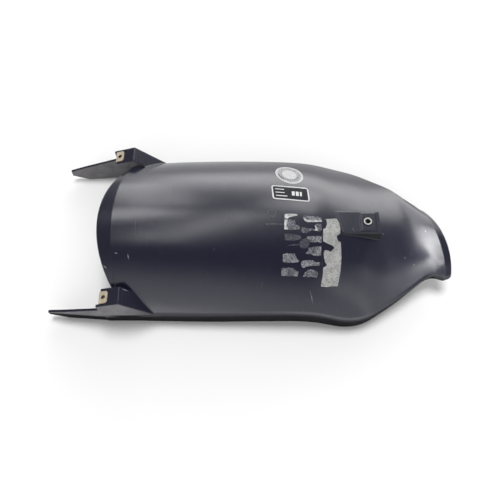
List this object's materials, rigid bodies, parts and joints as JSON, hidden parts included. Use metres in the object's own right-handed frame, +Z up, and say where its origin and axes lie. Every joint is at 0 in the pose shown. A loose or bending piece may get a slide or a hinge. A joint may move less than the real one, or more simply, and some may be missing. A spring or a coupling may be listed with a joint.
{
  "type": "motorcycle rear inner fender",
  "caption": "Moulded black plastic trough that covers the top of a motorcycle's rear wheel, with forward arms, lugs carrying clip nuts, a bushed pad and a flared tail.",
  "frame": {"origin": "on the ground under the middle of the part's bounding box, with the part lying on its skirts and arms", "axes": "+X from the forward arms to the tail, +Y from the left side to the right side, +Z up through the crown"},
  "size_m": [0.481, 0.2227, 0.081],
  "materials": {
    "black_plastic": "moulded black plastic, glossy, with light scuffs and residue",
    "zinc_clip": "spring steel, yellow zinc plating",
    "bush_steel": "bright zinc-plated steel"
  },
  "bodies": {
    "root": {"inner_fender": "black_plastic", "clip_nut_left": "zinc_clip", "clip_nut_right": "zinc_clip", "pad_bush": "bush_steel"}
  },
  "joints": []
}
